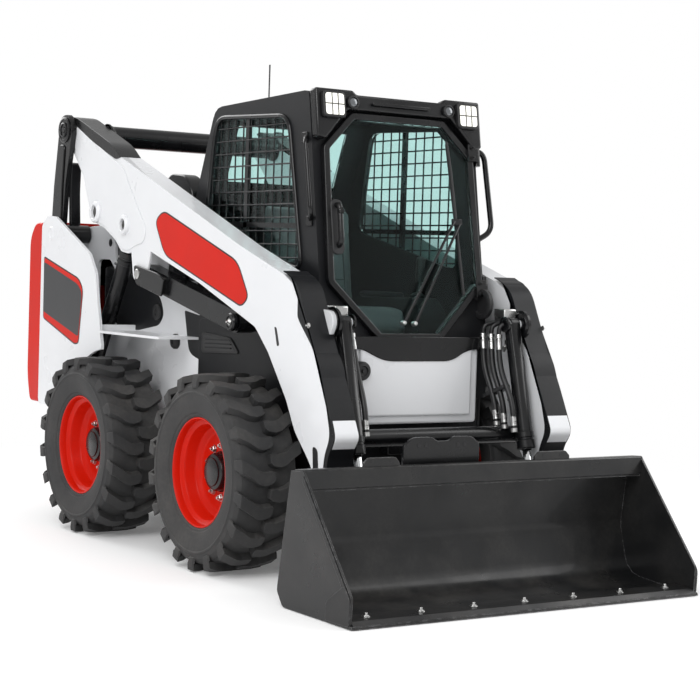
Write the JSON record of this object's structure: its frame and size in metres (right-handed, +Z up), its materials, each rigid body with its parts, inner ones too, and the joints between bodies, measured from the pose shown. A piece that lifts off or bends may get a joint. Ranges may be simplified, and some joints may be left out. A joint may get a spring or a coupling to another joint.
{
  "type": "skid steer loader",
  "caption": "Wheeled skid steer loader with an enclosed cab, vertical-path lift arms on links and cylinders, and a bucket on a quick coupler.",
  "frame": {"origin": "on the ground, below the middle of the machine's box with the arms down and the bucket flat", "axes": "+X forward, from the tailgate to the bucket's edge; +Y to the machine's left; +Z up"},
  "size_m": [3.475, 1.727, 2.22],
  "materials": {
    "white_paint": "gloss white enamel",
    "red_paint": "gloss red-orange enamel",
    "charcoal_paint": "satin charcoal powder coat",
    "black_paint": "gloss black enamel",
    "chrome_rod": "polished hard chrome",
    "graphite_steel": "satin graphite paint, lightly scuffed",
    "cast_metal": "rough casting",
    "tyre_rubber": "matt rubber",
    "tinted_glass": "polished, green tint",
    "black_plastic": "fine moulded grain",
    "seat_vinyl": "grained vinyl with sewn seams"
  },
  "bodies": {
    "chassis": {"lower_frame": "charcoal_paint", "front_axle": "cast_metal", "rear_axle": "cast_metal", "engine_block": "cast_metal", "rear_bumper": "charcoal_paint", "left_upright": "white_paint", "right_upright": "white_paint", "left_side_cover": "charcoal_paint", "right_side_cover": "charcoal_paint", "engine_hood": "charcoal_paint", "air_cleaner": "black_paint", "cab_shell": "charcoal_paint", "roof_visor": "black_paint", "left_side_window": "tinted_glass", "right_side_window": "tinted_glass", "rear_window": "tinted_glass", "air_box": "black_plastic", "front_panel": "white_paint", "antenna": "black_plastic", "seat_base": "black_plastic", "seat_cushion": "seat_vinyl", "seat_back": "seat_vinyl"},
    "tailgate": {"tailgate": "red_paint"},
    "cab_door": {"door_frame": "black_paint", "door_glass": "tinted_glass"},
    "control_links": {"left_control_link": "black_paint", "right_control_link": "black_paint"},
    "lift_arms": {"left_lift_arm": "white_paint", "right_lift_arm": "white_paint", "rear_cross_tube": "black_paint", "front_cross_tube": "black_paint"},
    "rear_links": {"left_rear_link": "black_paint", "right_rear_link": "black_paint"},
    "lift_barrels": {"left_lift_barrel": "black_paint", "right_lift_barrel": "black_paint"},
    "lift_rods": {"left_lift_rod": "chrome_rod", "right_lift_rod": "chrome_rod"},
    "tilt_barrels": {"left_tilt_barrel": "black_paint", "right_tilt_barrel": "black_paint"},
    "tilt_rods": {"left_tilt_rod": "chrome_rod", "right_tilt_rod": "chrome_rod"},
    "bucket": {"quick_coupler": "graphite_steel", "bucket": "graphite_steel"},
    "front_left_wheel": {"front_left_tyre": "tyre_rubber", "front_left_rim": "red_paint"},
    "front_right_wheel": {"front_right_tyre": "tyre_rubber", "front_right_rim": "red_paint"},
    "rear_left_wheel": {"rear_left_tyre": "tyre_rubber", "rear_left_rim": "red_paint"},
    "rear_right_wheel": {"rear_right_tyre": "tyre_rubber", "rear_right_rim": "red_paint"}
  },
  "joints": [
    {"name": "lift", "type": "hinge", "parent": "control_links", "child": "lift_arms", "pos_m": [-0.5525, 0, 1.255], "axis": [0, -1, 0], "range_deg": [0, 127.55]},
    {"name": "control_link_swing", "type": "hinge", "parent": "chassis", "child": "control_links", "pos_m": [0.3425, 0, 1.065], "axis": [0, -1, 0], "range_deg": [-59.6, 0]},
    {"name": "rear_link_swing", "type": "hinge", "parent": "chassis", "child": "rear_links", "pos_m": [-1.4525, 0, 1.445], "axis": [0, -1, 0], "range_deg": [-82.1, 0]},
    {"name": "lift_barrel_swing", "type": "hinge", "parent": "chassis", "child": "lift_barrels", "pos_m": [-1.1475, 0, 0.775], "axis": [0, -1, 0], "range_deg": [-9.2, 0]},
    {"name": "lift_rod_slide", "type": "slide", "parent": "lift_barrels", "child": "lift_rods", "axis": [0.5234, 0, 0.8521], "range_m": [0, 0.6125]},
    {"name": "bucket_tilt", "type": "hinge", "parent": "lift_arms", "child": "bucket", "pos_m": [1.1125, 0, 0.205], "axis": [0, 1, 0], "range_deg": [-20, 105]},
    {"name": "tilt_barrel_swing", "type": "hinge", "parent": "lift_arms", "child": "tilt_barrels", "pos_m": [0.9685, 0, 1.092], "axis": [0, -1, 0], "range_deg": [-0.74, 3.8]},
    {"name": "tilt_rod_slide", "type": "slide", "parent": "tilt_barrels", "child": "tilt_rods", "axis": [0.2388, 0, -0.9711], "range_m": [-0.0421, 0.2201]},
    {"name": "cab_door_hinge", "type": "hinge", "parent": "chassis", "child": "cab_door", "pos_m": [0.82725, 0.424, 0.97814], "axis": [-0.1572, 0, 0.9876], "range_deg": [0, 70]},
    {"name": "tailgate_hinge", "type": "hinge", "parent": "chassis", "child": "tailgate", "pos_m": [-1.5855, 0.626, 1], "axis": [0, 0, -1], "range_deg": [0, 95]},
    {"name": "front_left_wheel_spin", "type": "hinge", "parent": "chassis", "child": "front_left_wheel", "pos_m": [0.4125, 0.668, 0.425], "axis": [0, 1, 0], "continuous": true},
    {"name": "front_right_wheel_spin", "type": "hinge", "parent": "chassis", "child": "front_right_wheel", "pos_m": [0.4125, -0.668, 0.425], "axis": [0, 1, 0], "continuous": true},
    {"name": "rear_left_wheel_spin", "type": "hinge", "parent": "chassis", "child": "rear_left_wheel", "pos_m": [-0.7775, 0.668, 0.425], "axis": [0, 1, 0], "continuous": true},
    {"name": "rear_right_wheel_spin", "type": "hinge", "parent": "chassis", "child": "rear_right_wheel", "pos_m": [-0.7775, -0.668, 0.425], "axis": [0, 1, 0], "continuous": true}
  ],
  "couplings": [
    {"joint": "control_link_swing", "follows": "lift", "ratio": -0.46687},
    {"joint": "rear_link_swing", "follows": "lift", "ratio": -0.6428},
    {"joint": "lift_barrel_swing", "follows": "lift", "ratio": -0.071459},
    {"joint": "lift_rod_slide", "follows": "lift", "m_per_rad": 0.27496},
    {"joint": "tilt_barrel_swing", "follows": "bucket_tilt", "ratio": 0.036},
    {"joint": "tilt_rod_slide", "follows": "bucket_tilt", "m_per_rad": 0.12}
  ]
}
